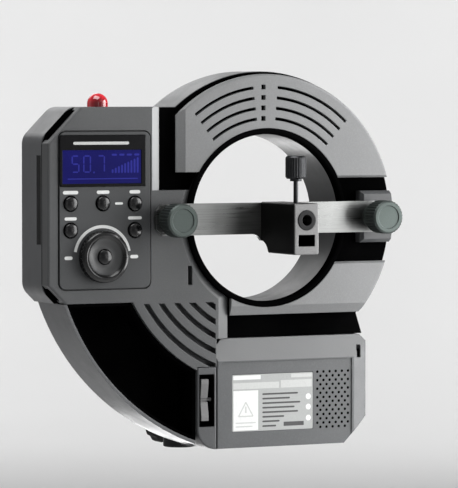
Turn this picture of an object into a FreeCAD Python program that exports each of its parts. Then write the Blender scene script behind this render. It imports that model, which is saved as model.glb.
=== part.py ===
"""Ring-shaped monolight strobe: a flash head with a lens opening, an operating panel on its
left, a slide-out battery under its right side, an umbrella bracket across the opening and a
tilting stand mount on its front.

Row frame: the origin is the centre of the stand socket's mouth, +Z is up, +Y is the way the
light goes and +X is the operator's right.  The head's own pieces are drawn about the ring's
axis, with Y = 0 on the rear face, and are then placed by head_x, head_y and head_z.
"""
import FreeCAD, Part
import os
import re

import Sketcher
from FreeCAD import Placement, Rotation, Vector

SIZES = {
    # where the ring's axis meets the rear face, seen from the stand socket's mouth
    "head_x": 40.0, "head_y": -72.0, "head_z": 180.0,
    # ring
    "opening_radius": 64.0, "barrel_wall": 2.0, "lip_radius": 68.3, "lip_depth": 6.0,
    "cover_radius": 110.0, "ring_radius": 112.0,
    # casing
    "body_depth": 49.0, "seam_depth": 12.0, "deck_depth": 9.0, "cover_thick": 3.6,
    "wall": 2.5, "joint_gap": 0.3,
    "control_left": -184.0, "control_right": -90.0, "control_top": 85.0, "control_low": -62.0,
    "top_chamfer": 23.0, "low_chamfer": 10.0, "cut_back": 4.0, "arc_radius": 182.0,
    # hand grip recess
    "grip_inner": 130.0, "grip_floor": 30.0, "grip_top": -62.3,
    # battery and the latch block beside it
    "pack_left": -43.5, "pack_right": 88.0, "pack_top": -92.0, "pack_low": -176.0,
    "pack_chamfer": 20.5, "pack_depth": 29.0, "latch_left": -60.0, "latch_top": -113.0,
    # long flap in the left wall
    "port_rear": 13.0, "port_front": 21.0, "port_low": -18.0, "port_high": 49.0,
    # operating panel
    "panel_left": -176.0, "panel_right": -99.0, "panel_top": 67.5, "panel_low": -52.0,
    "panel_rise": 1.0, "button_radius": 5.2, "button_gap": 0.9, "button_rise": 2.6,
    "dial_x": -140.0, "dial_z": -27.0, "dial_radius": 19.5, "dial_rise": 9.0, "set_radius": 6.0,
    # umbrella bracket
    "bar_reach": 99.0, "bar_half": 12.0, "bar_rear": -9.0, "bar_thick": 3.0, "knob_x": 88.0,
    "knob_radius": 12.8, "knob_rise": 24.0, "holder_half": 10.4, "holder_rear": -63.5,
    "holder_top": 12.6, "holder_low": -26.0, "shaft_radius": 4.15, "clamp_y": -46.0,
    # flash optics
    "tube_radius": 88.0, "tube_thick": 4.5,
    # stand mount
    "spigot_radius": 8.05, "socket_radius": 12.6, "socket_top": 31.0, "bore_depth": 27.0,
    "hinge_z": 46.0, "tongue_half": 7.0, "ear_thick": 6.0, "ear_radius": 11.0,
    "bolt_radius": 4.0, "fit": 0.06,
}
BIG = 400
CORNER_ROUND = 12.0

doc = FreeCAD.newDocument("ring_strobe")
sheet = doc.addObject("Spreadsheet::Sheet", "sizes")
for number, (alias, value) in enumerate(SIZES.items(), 1):
    sheet.set(f"A{number}", alias)
    sheet.set(f"B{number}", str(value))
    sheet.setAlias(f"B{number}", alias)
doc.recompute()

pieces = []
AXES = {
    "X": Rotation(Vector(0, 1, 0), 90),
    "Y": Rotation(Vector(1, 0, 0), -90),
    "Z": Rotation(),
}


def bound(text):
    """The text of an expression, with each driving dimension taken from the sheet."""
    return re.sub(r"[a-z]\w*", lambda word: f"sizes.{word[0]}", str(text))


def value(text):
    """The value of an expression now, in millimetres."""
    return float(sheet.evalExpression(bound(text)))


def put(obj, x=None, y=None, z=None):
    """Binds where an object stands."""
    for letter, text in (("x", x), ("y", y), ("z", z)):
        if text is not None:
            obj.setExpression(f"Placement.Base.{letter}", bound(text))
    return obj


def box(name, x0, x1, y0, y1, z0, z1):
    """A box between bound planes."""
    made = doc.addObject("Part::Box", name)
    for side, low, high in (("Length", x0, x1), ("Width", y0, y1), ("Height", z0, z1)):
        made.setExpression(side, bound(f"({high}) - ({low})"))
    return put(made, x0, y0, z0)


def rod(name, axis, radius, start, length, x="0", y="0", z="0"):
    """A cylinder along an axis; start is where it begins on that axis."""
    made = doc.addObject("Part::Cylinder", name)
    made.setExpression("Radius", bound(radius))
    made.setExpression("Height", bound(length))
    made.Placement = Placement(Vector(), AXES[axis])
    place = {"X": x, "Y": y, "Z": z}
    place[axis] = f"({place[axis]}) + ({start})"
    return put(made, place["X"], place["Y"], place["Z"])


def fuse(name, *parts):
    made = doc.addObject("Part::MultiFuse", name)
    made.Shapes = list(parts)
    made.Refine = True
    return made


def common(name, *parts):
    made = doc.addObject("Part::MultiCommon", name)
    made.Shapes = list(parts)
    return made


def cut(name, base, *tools):
    """base without the tools."""
    made = doc.addObject("Part::Cut", name)
    made.Base = base
    made.Tool = tools[0] if len(tools) == 1 else fuse(f"{name}_tools", *tools)
    made.Refine = True
    return made


def outline(sketch, points):
    """A closed, fully bound outline.  A point is (x, y) or (x, y, (mid x, mid y)), where the
    third entry makes the stretch to the next point an arc through that middle point."""
    spots = [Vector(value(p[0]), value(p[1]), 0) for p in points]
    first = sketch.GeometryCount
    ends = []
    for index, point in enumerate(points):
        a, b = spots[index], spots[(index + 1) % len(points)]
        if len(point) == 3:
            middle = Vector(value(point[2][0]), value(point[2][1]), 0)
            forward = (middle - a).cross(b - middle).z > 0
            edge = Part.Arc(a, middle, b) if forward else Part.Arc(b, middle, a)
            sketch.addGeometry(edge)
            ends.append((1, 2) if forward else (2, 1))
            radius = sketch.Geometry[first + index].Radius
            sketch.addConstraint(Sketcher.Constraint("Radius", first + index, radius))
        else:
            sketch.addGeometry(Part.LineSegment(a, b))
            ends.append((1, 2))
    for index in range(len(points)):
        after = (index + 1) % len(points)
        sketch.addConstraint(Sketcher.Constraint(
            "Coincident", first + index, ends[index][1], first + after, ends[after][0]))
    for index, point in enumerate(points):
        here = (first + index, ends[index][0])
        for kind, text, axis, now in (
                ("DistanceX", point[0], -2, spots[index].x),
                ("DistanceY", point[1], -1, spots[index].y)):
            if abs(now) < 1e-9:
                sketch.addConstraint(Sketcher.Constraint("PointOnObject", *here, axis))
            else:
                made = sketch.addConstraint(Sketcher.Constraint(kind, -1, 1, *here, now))
                sketch.setExpression(f"Constraints[{made}]", bound(text))


def circle(sketch, x, y, radius):
    """A bound circle."""
    x_now, y_now = value(x), value(y)
    made = sketch.addGeometry(Part.Circle(Vector(x_now, y_now, 0), Vector(0, 0, 1), value(radius)))
    size = sketch.addConstraint(Sketcher.Constraint("Radius", made, value(radius)))
    sketch.setExpression(f"Constraints[{size}]", bound(radius))
    for kind, text, axis, now in (("DistanceX", x, -2, x_now), ("DistanceY", y, -1, y_now)):
        if abs(now) < 1e-9:
            sketch.addConstraint(Sketcher.Constraint("PointOnObject", made, 3, axis))
        else:
            k = sketch.addConstraint(Sketcher.Constraint(kind, -1, 1, made, 3, now))
            sketch.setExpression(f"Constraints[{k}]", bound(text))


def new_body(name):
    return doc.addObject("PartDesign::Body", name)


def sketch_on(body, name, plane, offset="0"):
    """A sketch on one of the body's own origin planes, moved along that plane's normal."""
    sketch = body.newObject("Sketcher::SketchObject", name)
    support = [o for o in body.Origin.OriginFeatures if o.Role == plane][0]
    sketch.AttachmentSupport = [(support, "")]
    sketch.MapMode = "FlatFace"
    if offset != "0":
        sketch.setExpression("AttachmentOffset.Base.z", bound(offset))
    return sketch


def pad(body, sketch, length):
    made = body.newObject("PartDesign::Pad", f"{sketch.Name}_pad")
    made.Profile = sketch
    made.setExpression("Length", bound(length))
    sketch.Visibility = False
    return made


def pocket(body, sketch, length, reverse=False):
    made = body.newObject("PartDesign::Pocket", f"{sketch.Name}_pocket")
    made.Profile = sketch
    made.Reversed = reverse
    made.setExpression("Length", bound(length))
    return made


def revolve(body, sketch, axis="V_Axis"):
    made = body.newObject("PartDesign::Revolution", f"{sketch.Name}_turned")
    made.Profile = sketch
    made.ReferenceAxis = (sketch, [axis])
    made.Angle = 360
    return made


def round_edges(body, base, radius, chooser, kind="PartDesign::Fillet"):
    """Fillets or chamfers the edges of a feature that chooser picks."""
    doc.recompute()
    names = [f"Edge{i}" for i, e in enumerate(base.Shape.Edges, 1) if chooser(e)]
    made = body.newObject(kind, f"{body.Name}_{kind.split('::')[1].lower()}_{len(body.Group)}")
    made.Base = (base, names)
    made.setExpression("Radius" if kind.endswith("Fillet") else "Size", bound(radius))
    body.Tip = made
    return made


def prism(name, points, rear, front):
    """A body whose outline in X and Z runs from the rear plane to the front plane."""
    body = new_body(name)
    sketch = sketch_on(body, f"{name}_outline", "XZ_Plane", f"-({front})")
    outline(sketch, points)
    pad(body, sketch, f"({front}) - ({rear})")
    return body


def turned(name, points):
    """A body turned about its own Y axis from (radius, y) points."""
    body = new_body(name)
    sketch = sketch_on(body, f"{name}_profile", "XY_Plane")
    outline(sketch, points)
    revolve(body, sketch)
    return body


def pattern_round(body, feature, sketch, count, axis="V_Axis"):
    """Repeats a feature evenly about an axis of the sketch."""
    made = body.newObject("PartDesign::PolarPattern", f"{feature.Name}_round")
    made.Originals = [feature]
    made.Axis = (sketch, [axis])
    made.Angle = 360
    made.Occurrences = count
    body.Tip = made
    return made


def soften(obj, radius, chooser, chamfer=None):
    """A Part fillet, or a chamfer of two widths, on the edges that chooser picks."""
    doc.recompute()
    kind = "Part::Chamfer" if chamfer else "Part::Fillet"
    made = doc.addObject(kind, f"{obj.Name}_{'bevel' if chamfer else 'round'}")
    made.Base = obj
    sizes = chamfer or (radius, radius)
    made.Edges = [(i, *sizes) for i, e in enumerate(obj.Shape.Edges, 1) if chooser(e)]
    return made


def in_plane(axis, level):
    """Picks the edges that lie in one plane."""
    def chooser(edge):
        low, high = getattr(edge.BoundBox, f"{axis}Min"), getattr(edge.BoundBox, f"{axis}Max")
        return abs(low - level) < 1e-3 and abs(high - level) < 1e-3
    return chooser


def keep(obj, label, head=True):
    """Registers a finished sub-part and, if it belongs to the head, stands it there."""
    if head:
        for letter in "xyz":
            own = value_of_base(obj, letter)
            obj.setExpression(f"Placement.Base.{letter}", f"{own} + sizes.head_{letter}")
    obj.Label = label
    pieces.append(obj)
    return obj


def value_of_base(obj, letter):
    """The bound or plain offset that an object already has along one axis."""
    for path, text in obj.ExpressionEngine:
        if path.strip(".") == f"Placement.Base.{letter}":
            return f"({text})"
    return repr(float(getattr(obj.Placement.Base, letter)))


# ---------------------------------------------------------------------------- casing
def control_outline(inset):
    """Corners of the operating side's box, drawn in by inset."""
    slack = f"0.414 * ({inset})"
    left, low, top = f"control_left + {inset}", f"control_low + {inset}", f"control_top - {inset}"
    return [
        (left, f"control_low + low_chamfer + {slack}"),
        (left, f"control_top - top_chamfer - {slack}"),
        (f"control_left + top_chamfer + {slack}", top),
        ("control_right + 20", top),
        ("control_right + 20", low),
        (f"control_left + low_chamfer + {slack}", low),
    ]


def pack_outline(inset, left):
    """Corners of the block at the lower right, drawn in by inset."""
    slack = f"0.414 * ({inset})"
    right, low = f"pack_right - {inset}", f"pack_low + {inset}"
    return [
        (left, low),
        (left, "pack_top + 16.4"),
        (f"pack_right - 5.4 - {inset}", "pack_top + 16.4"),
        (right, "pack_top"),
        (right, f"pack_low + pack_chamfer + {slack}"),
        (f"pack_right - pack_chamfer - {slack}", low),
    ]


def casing(name, inset, rear, front):
    """The whole outline of the head as one solid between two planes."""
    depth = f"({front}) - ({rear})"
    quarter = box(f"{name}_quarter", f"control_left + {inset}", "-30",
                  rear, front, f"pack_low + {inset}", f"control_low + 30 - {inset}")
    disc = rod(f"{name}_arc", "Y", f"arc_radius - {inset}", rear, depth)
    return fuse(
        name,
        prism(f"{name}_control", control_outline(inset), rear, front),
        rod(f"{name}_ring", "Y", f"ring_radius - {inset}", rear, depth),
        common(f"{name}_sector", disc, quarter),
        prism(f"{name}_pack", pack_outline(inset, "-50"), rear, front),
    )


def pack_space(name, margin, front, beside="joint_gap"):
    """The room that the battery and the latch block need, open below and behind; beside is the
    margin on the latch block's left."""
    battery_room = box(f"{name}_battery", f"pack_left - {margin}", BIG, -BIG, front,
                       -BIG, f"pack_top + {margin}")
    latch_room = box(f"{name}_latch", f"latch_left - {beside}", BIG, -BIG, front,
                     -BIG, f"latch_top + {margin}")
    return fuse(name, battery_room, latch_room)


def front_shell():
    """Half casing that carries the optics, with the hand grip's rim standing up from it."""
    outer = soften(casing("shell_outer", "0", "seam_depth", "body_depth"), CORNER_ROUND,
                   on_left_corner)
    cavity = cut(
        "shell_cavity",
        casing("shell_inner", "wall", "seam_depth - 1", "body_depth - wall"),
        pack_space("shell_pack_back", "wall", "pack_depth + wall + 1"),
    )
    rim_ring = cut(
        "rim_ring",
        rod("rim_outer", "Y", "arc_radius", "1", "seam_depth"),
        rod("rim_inner", "Y", "arc_radius - wall", "0", "seam_depth + 2"),
    )
    rim = common("rim", rim_ring, box("rim_span", "control_left + 12", "latch_left - 1",
                                      "1", "seam_depth + 1", "pack_low + 2", "grip_top"))
    ports = box("port_window", "control_left - 1", "control_left + wall + 1",
                "port_rear", "port_front", "port_low", "port_high")
    made = cut(
        "shell_open", fuse("shell_with_rim", outer, rim), cavity,
        pack_space("shell_pack_room", "joint_gap", "pack_depth + 1"),
        rod("shell_aperture", "Y", "cover_radius - 1", "body_depth - wall - 1", "wall + 2"),
        rod("dome_hole", "Z", "5", "control_top - 5", "10", x="-132", y="24.5"),
        ports,
    )
    keep(soften(made, 1.2, in_plane("Y", SIZES["body_depth"])), "front_shell")


def on_left_corner(edge):
    """Picks the upright corners on the left of the casing."""
    b = edge.BoundBox
    if b.XLength > 1e-3 or b.ZLength > 1e-3:
        return False
    left, top = SIZES["control_left"], SIZES["control_top"]
    corners = ((left, top - SIZES["top_chamfer"]), (left + SIZES["top_chamfer"], top),
               (left, SIZES["control_low"] + SIZES["low_chamfer"]))
    return any(abs(b.XMin - x) + abs(b.ZMin - z) < 1e-3 for x, z in corners)


def rear_cover():
    """Operating side and the louvred field below the lens opening, in one moulding."""
    rise = "seam_depth - 1.2"
    field = common(
        "field",
        cut("field_band", rod("field_outer", "Y", "grip_inner", "0", "seam_depth"),
            rod("field_hole", "Y", "lip_radius + joint_gap", "-1", "seam_depth + 2")),
        box("field_span", "control_left + 20", "-32", "0", "seam_depth", "-150", "22"),
    )
    whole = fuse("cover_block", prism("cover_control", [
        ("control_left", "control_low + low_chamfer + cut_back"),
        ("control_left", "control_top - top_chamfer - cut_back"),
        ("control_left + top_chamfer + cut_back", "control_top"),
        ("control_right", "control_top"),
        ("control_right", "control_low"),
        ("control_left + low_chamfer + cut_back", "control_low"),
    ], "0", rise), field)
    trimmed = cut("cover_trimmed", whole,
                  pack_space("cover_pack", "joint_gap", BIG))
    rounded = soften(trimmed, 1.6, outer_rear_edge)
    opening_bevel = turned("opening_bevel", [
        ("lip_radius - 6", "-1.5"), ("lip_radius + 6", "-1.5"), ("lip_radius + 6", "0"),
        ("lip_radius", "3.2"), ("lip_radius - 6", "3.2"),
    ])
    hollow = prism("cover_room", [
        ("control_left + wall", "control_low + low_chamfer + 1"),
        ("control_left + wall", "control_top - top_chamfer - 1"),
        ("control_left + top_chamfer + 1", "control_top - wall"),
        ("control_right - 7", "control_top - wall"),
        ("control_right - 7", "control_low + wall"),
        ("control_left + low_chamfer + 1", "control_low + wall"),
    ], "5.5", "seam_depth + 1")
    slots = louvres("louvre", (81, 90.5, 100, 110.5, 121), 4.0, 180, 250)
    louvre_field = common("louvre_field", slots,
                          box("louvre_span", "-110", "-44.5", -1, "7", "-128", "-63.5"))
    pocket_for_panel = rounded_plate("panel_seat", "panel_left", "panel_right", "panel_low",
                                     "panel_top", "-1", "3", 6.0)
    port = box("sync_slot", -68, -64.4, -1, 13, -50, -35.5)
    stud = rod("left_stud_hole", "Y", "2.8", "-1", "10", x="-knob_x")
    made = cut("rear_cover_cut", rounded, hollow, louvre_field, pocket_for_panel, port, stud,
               opening_bevel,
               bevel_tool("control_bevel", "XY_Plane", "control_right", "-8", "5", "22", "90"),
               bevel_tool("field_bevel", "XY_Plane", "-32", "-10", "5", "-95", "-55"),
               *key_holes("cover", "button_radius + 1", "dial_radius - 6"))
    keep(made, "rear_cover")
    keep(prism("seam_strip", [
        ("control_right - 0.5", "control_top"), ("control_left + top_chamfer + 5", "control_top"),
        ("control_left + top_chamfer - 3.5", "control_top - 3.5"),
        ("control_left + 3.5", "control_top - top_chamfer + 3.5"),
        ("control_left", "control_top - top_chamfer - 5"),
        ("control_left", "control_low + low_chamfer + 5"),
        ("control_left + 3.5", "control_low + low_chamfer - 3.5"),
        ("control_left + low_chamfer", "control_low"), ("-116", "control_low"),
        ("-116", "control_low + 4"), ("control_left + low_chamfer + 1.7", "control_low + 4"),
        ("control_left + 4", "control_low + low_chamfer + 1.7"),
        ("control_left + 4", "control_top - top_chamfer - 1.7"),
        ("control_left + top_chamfer + 1.7", "control_top - 4"),
        ("control_right - 0.5", "control_top - 4"),
    ], "seam_depth - 1.1", "seam_depth - 0.1"), "seam_gasket")


def outer_rear_edge(edge):
    """Picks the rear edges along the head's own outside, left, top and bottom."""
    b = edge.BoundBox
    if b.YMax > 1e-3:
        return False
    left = SIZES["control_left"] + SIZES["top_chamfer"] + SIZES["cut_back"]
    return b.XMax < left + 1e-3 or (abs(b.ZMin - SIZES["control_top"]) < 1e-3)


def rounded_plate(name, left, right, low, high, rear, front, radius):
    """A plate with rounded corners."""
    body = new_body(name)
    sketch = sketch_on(body, f"{name}_outline", "XZ_Plane", f"-({front})")
    outline(sketch, [(left, low), (left, high), (right, high), (right, low)])
    made = pad(body, sketch, f"({front}) - ({rear})")
    round_edges(body, made, str(radius), lambda e: e.BoundBox.YLength > 0.05
                and e.BoundBox.XLength < 1e-3 and e.BoundBox.ZLength < 1e-3)
    return body


def louvres(name, radii, width, start, end):
    """Curved slots about the ring's axis, from one angle to another, in degrees from +X."""
    made = []
    for number, radius in enumerate(radii):
        outer = doc.addObject("Part::Cylinder", f"{name}_{number}_outer")
        inner = doc.addObject("Part::Cylinder", f"{name}_{number}_inner")
        for disc, size in ((outer, radius + width / 2), (inner, radius - width / 2)):
            disc.Radius = size
            disc.Height = 14
            disc.Angle = end - start if disc is outer else 360
            turn = Rotation(Vector(1, 0, 0), 90)
            disc.Placement = Placement(Vector(0, 12, 0), turn.multiply(
                Rotation(Vector(0, 0, 1), start)))
        made.append(cut(f"{name}_{number}", outer, inner))
    return fuse(f"{name}_all", *made)


BUTTONS = {
    "button_mode": (-166.0, 13.0), "button_left": (-139.5, 13.0), "button_right": (-113.0, 12.5),
    "button_slave": (-166.0, -7.0), "button_lamp": (-113.0, -7.5),
}


def key_holes(name, radius, dial_radius):
    """Round holes for the five buttons and the dial's shaft."""
    holes = [rod(f"{name}_{key}_hole", "Y", radius, "-5", "30", x=str(x), z=str(z))
             for key, (x, z) in BUTTONS.items()]
    return holes + [rod(f"{name}_dial_hole", "Y", dial_radius, "-5", "30",
                        x="dial_x", z="dial_z")]


def operating_panel():
    """Panel plate, display, buttons, dial and set key."""
    plate = rounded_plate("panel_body", "panel_left + 1.1", "panel_right - 1.1",
                          "panel_low + 1.1", "panel_top - 1.1", "-panel_rise", "2.8", 5.0)
    window = box("window_seat", -175, -104.2, -3, "0.4", 25.4, 64.2)
    keep(cut("panel_plate_cut", plate, window,
             *key_holes("panel", "button_radius + button_gap", "11.3")), "panel_plate")
    frame = rounded_plate("display_frame", "-174.7", "-104.5", "25.7", "63.9",
                          "-panel_rise - 0.5", "0.35", 2.0)
    keep(cut("display_frame_cut", frame,
             box("display_seat", -172.8, -107.7, -3, 2, 27.6, 53)), "display_bezel")
    keep(box("display_module", -172.6, -107.9, "-panel_rise - 0.1", "0.3", 27.8, 52.8),
         "display_module")
    for key, (x, z) in BUTTONS.items():
        push_key(key, "button_radius", "button_rise + panel_rise", str(x), str(z))
    dial()
    push_key("set_button", "set_radius - 0.4", "dial_rise - 1.4", "dial_x", "dial_z")


def push_key(name, radius, rise, x, z):
    """A domed key with a collar behind the panel."""
    body = turned(name, [
        ("0", f"-({rise})", (f"({radius}) / 2 - 0.45", f"-({rise}) + 0.184")),
        (f"({radius}) - 0.9", f"-({rise}) + 0.75", (f"({radius}) - 0.25", f"-({rise}) + 1.2")),
        (radius, f"-({rise}) + 2.0"),
        (radius, "4.6"),
        ("0", "4.6"),
    ])
    keep(put(body, x, "0", z), name)


def dial():
    """Jog dial with a dished face and a milled edge."""
    body = new_body("dial")
    profile = sketch_on(body, "dial_profile", "XY_Plane")
    outline(profile, [
        ("set_radius", "-dial_rise + 3.6", ("set_radius + 4.2", "-dial_rise + 3.3")),
        ("dial_radius - 4.2", "-dial_rise + 0.5", ("dial_radius - 3.2", "-dial_rise + 0.1")),
        ("dial_radius - 2.2", "-dial_rise + 0.4", ("dial_radius - 0.7", "-dial_rise + 1.3")),
        ("dial_radius", "-dial_rise + 3.2"),
        ("dial_radius", "-panel_rise - 0.4"),
        ("11", "-panel_rise - 0.4"),
        ("11", "4.6"),
        ("set_radius", "4.6"),
    ])
    revolve(body, profile)
    groove = sketch_on(body, "dial_groove", "XZ_Plane", "dial_rise")
    circle(groove, "dial_radius + 0.35", "0", "0.8")
    doc.recompute()
    milled = pocket(body, groove, "dial_rise - 2.4")
    pattern_round(body, milled, groove, 40, "N_Axis")
    keep(put(body, "dial_x", "0", "dial_z"), "dial")


# ---------------------------------------------------------------------------- ring
def ring_band(name, rear, front, inner="lip_radius + joint_gap", outer="cover_radius"):
    """The ring's band between two planes."""
    depth = f"({front}) - ({rear})"
    return cut(name, rod(f"{name}_disc", "Y", outer, rear, depth),
               rod(f"{name}_hole", "Y", inner, f"({rear}) - 1", f"({depth}) + 2"))


def bevel_tool(name, plane, edge, run, depth, low, high):
    """A wedge that takes a long bevel off a straight rear edge of a block.  The edge stands at
    one X and runs along Z on XY_Plane, or stands at one Z and runs along X on YZ_Plane; run is
    how far the bevel reaches across the rear face, signed towards the block."""
    body = new_body(name)
    sketch = sketch_on(body, f"{name}_outline", plane, low)
    inner, outer = f"({edge}) + ({run})", f"({edge}) - ({run}) / 5"
    points = [(edge, depth), (inner, "0"), (inner, "-1.5"), (outer, "-1.5"), (outer, depth)]
    if plane == "YZ_Plane":
        points = [(y, z) for z, y in points]
    outline(sketch, points)
    pad(body, sketch, f"({high}) - ({low})")
    return body


def ring_covers():
    """The two thin grey covers of the ring, the upper one with cooling slots."""
    upper = common("upper_block", ring_band("upper_band", "0", "cover_thick"),
                   fuse("upper_spans",
                        box("upper_left", "-77", "0", -1, "20", "35.5", "130"),
                        box("upper_right", "0", "120", -1, "20", "30", "130")))
    upper = soften(upper, 2.0, lambda e: is_rear(e) and on_circle(e, 110))
    radii = (76, 84, 92, 100)
    vents = fuse("vents", louvres("vent_left", radii, 2.3, 97, 128),
                 louvres("vent_right", radii, 2.3, 47, 85),
                 *[box(f"vent_end_{r}", "-5.4", "-1.8", -1, 12, r - 1.8, r + 1.8) for r in radii])
    keep(cut("upper_cut", upper, vents,
             bevel_tool("upper_left_bevel", "XY_Plane", "-77", "7", "2.8", "34", "125"),
             bevel_tool("upper_low_bevel", "YZ_Plane", "30", "1.6", "1.6", "30", "115")),
         "ring_cover_upper")
    lower = common("lower_block", ring_band("lower_band", "0", "cover_thick"),
                   box("lower_span", "-31", "120", -1, "20", "-74.3", "-35"))
    lower = soften(lower, 2.0, lambda e: is_rear(e) and on_circle(e, 110))
    keep(cut("lower_cut", lower,
             bevel_tool("lower_low_bevel", "YZ_Plane", "-74.3", "7", "2.8", "-33", "115"),
             bevel_tool("lower_top_bevel", "YZ_Plane", "-35", "-1.6", "1.6", "30", "115")),
         "ring_cover_lower")


def is_rear(edge):
    return edge.BoundBox.YMax < 1e-3 and not on_circle(edge, 68.6)


def on_circle(edge, radius):
    return edge.Curve.TypeId == "Part::GeomCircle" and abs(edge.Curve.Radius - radius) < 0.1


def ring_deck():
    """Black deck, raised where it carries the covers, and the pad under the bracket's right end."""
    raised = common("deck_raised",
                    ring_band("deck_raised_band", "cover_thick + 0.05", "deck_depth + 1",
                              "lip_radius + joint_gap", "cover_radius - 0.8"),
                    fuse("deck_raised_spans",
                         box("deck_raised_left", "-76.6", "0", -1, "20", "36", "130"),
                         box("deck_raised_right", "0", "120", -1, "20", "30.5", "130"),
                         box("deck_raised_low", "-30.6", "120", -1, "20", "-73.8", "-35.5")))
    slab = fuse("deck_slab", raised,
                rod("deck_disc", "Y", "cover_radius + 1.6", "deck_depth", "3"),
                box("deck_corner", "-89.8", "-60", "deck_depth", "deck_depth + 3", "22", "84.5"),
                prism("deck_band", [
                    ("-31", "-60"), ("82", "-60"), ("82", "pack_top + 17"),
                    ("pack_right - 0.6", "pack_top + 0.4"), ("-31", "pack_top + 0.4"),
                ], "deck_depth", "deck_depth + 3"))
    made = cut("deck_cut", slab,
               rod("deck_hole", "Y", "opening_radius + barrel_wall + joint_gap", "0", "40"),
               box("deck_clear_cover", -BIG, "-31.9", 0, 40, -BIG, "22.1"),
               box("deck_clear_slot", -BIG, "-89.9", 0, 40, -BIG, BIG),
               pack_space("deck_pack", "joint_gap", BIG),
               rod("right_stud_room", "Y", "2.6", "0", "14", x="knob_x"))
    keep(made, "ring_deck")
    pad_block = common("pad_shape",
                       box("pad_box", "82", "120", "0", "deck_depth", "-20.5", "19.5"),
                       rod("pad_disc", "Y", "cover_radius", "0", "deck_depth"))
    pad_block = soften(pad_block, 0, lambda e: is_rear(e) and not on_circle(e, 110), (2.5, 2.5))
    keep(cut("pad_cut", pad_block, rod("right_stud_hole", "Y", "2.6", "-1", "20", x="knob_x")),
         "bracket_pad_right")


def barrel():
    """Inner wall of the lens opening, its black rear lip and its front ring."""
    inner, outer = "opening_radius", "opening_radius + barrel_wall"
    keep(turned("barrel", [
        (inner, "lip_depth + 0.05"), (outer, "lip_depth + 0.05"), (outer, "body_depth + 2"),
        ("opening_radius + 0.8", "body_depth + 2"), (inner, "body_depth + 1.2"),
    ]), "barrel")
    keep(turned("rear_lip", [
        (inner, "0.5", ("opening_radius + 0.5", "-0.55")),
        ("opening_radius + 1.6", "-1.0"),
        ("lip_radius - 1.0", "-1.0", ("lip_radius - 0.3", "-0.7")),
        ("lip_radius", "0"),
        ("lip_radius", "3"), (outer, "3"), (outer, "lip_depth"), (inner, "lip_depth"),
    ]), "rear_lip")


def optics():
    """Reflector channel, flash tube, trigger wire, diffuser ring and its bezel."""
    keep(turned("reflector", [
        ("66.6", "body_depth - 1"), ("67.4", "body_depth - 1", ("72", "39.5")),
        ("tube_radius - 9", "33.8"), ("tube_radius + 9", "33.8", ("103.5", "39.5")),
        ("107.6", "body_depth - 1"), ("108.4", "body_depth - 1", ("104.3", "39")),
        ("tube_radius + 9.3", "33"), ("tube_radius - 9.3", "33", ("71.3", "39")),
    ]), "reflector")
    flash_tube()
    keep(turned("trigger_wire", [
        ("tube_radius - 0.35", "46.9"), ("tube_radius + 0.35", "46.9"),
        ("tube_radius + 0.35", "47.5"), ("tube_radius - 0.35", "47.5"),
    ]), "trigger_wire")
    keep(turned("diffuser", [
        ("66.4", "body_depth - 0.6"), ("108.6", "body_depth - 0.6"),
        ("108.6", "body_depth + 1.2", ("88", "body_depth + 3.4")), ("66.4", "body_depth + 1.2"),
    ]), "diffuser")
    keep(turned("front_bezel", [
        ("cover_radius - 1.3", "body_depth + 0.1"), ("cover_radius + 1.8", "body_depth + 0.1"),
        ("cover_radius + 1.2", "body_depth + 4.2"), ("cover_radius - 0.2", "body_depth + 4.8"),
        ("cover_radius - 1.3", "body_depth + 4"),
    ]), "front_bezel")


def flash_tube():
    """Ring-shaped discharge tube with a gap at the bottom and two electrode caps."""
    tube = doc.addObject("Part::Torus", "tube_glass")
    for field, text in (("Radius1", "tube_radius"), ("Radius2", "tube_thick")):
        tube.setExpression(field, bound(text))
    tube.Angle3 = 348
    tube.Placement = Placement(Vector(0, 42, 0), Rotation(Vector(1, 0, 0), 90).multiply(
        Rotation(Vector(0, 0, 1), -84)))
    keep(tube, "flash_tube")
    for side, x in (("left", "-5.2"), ("right", "5.2")):
        keep(rod(f"tube_end_{side}", "Y", "3", "34.2", "12", x=x, z="-tube_radius"),
             f"tube_electrode_{side}")


def dome_and_ports():
    """Red sensor dome on top, the flap in the left wall and the sockets behind it."""
    body = new_body("sensor_dome")
    profile = sketch_on(body, "dome_profile", "XZ_Plane")
    outline(profile, [
        ("0", "-4"), ("4.7", "-4"), ("4.7", "0.1"), ("8", "0.1"),
        ("8", "2.4", ("8 * 0.70711", "2.4 + 8 * 0.70711")), ("1.2", "10.31"), ("0", "10.31"),
    ])
    revolve(body, profile)
    keep(put(body, "-132", "24.5", "control_top"), "sensor_dome")
    keep(fuse("port_flap",
              box("port_flap_leaf", "control_left + 0.1", "control_left + 1.5",
                  "port_rear + joint_gap", "port_front - joint_gap - 0.7",
                  "port_low + joint_gap", "port_high - joint_gap"),
              rod("port_flap_hinge", "Z", "0.7", "port_low + joint_gap",
                  "port_high - port_low - 2 * joint_gap", x="control_left + 0.8",
                  y="port_front - joint_gap - 0.7")),
         "side_port_flap")
    block = box("port_block", "control_left + wall + 0.2", "control_left + 14",
                "port_rear - 0.4", "port_front + 1", "port_low - 1", "port_high + 1")
    sockets = [rod(f"port_socket_{n}", "X", "2.6", "control_left", "12", y="17", z=z)
               for n, z in enumerate(("-8", "8"))]
    sockets.append(box("port_slot", "control_left", "control_left + 10", 15.2, 18.8, 22, 34))
    keep(cut("port_block_cut", block, *sockets), "side_port_block")


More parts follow.
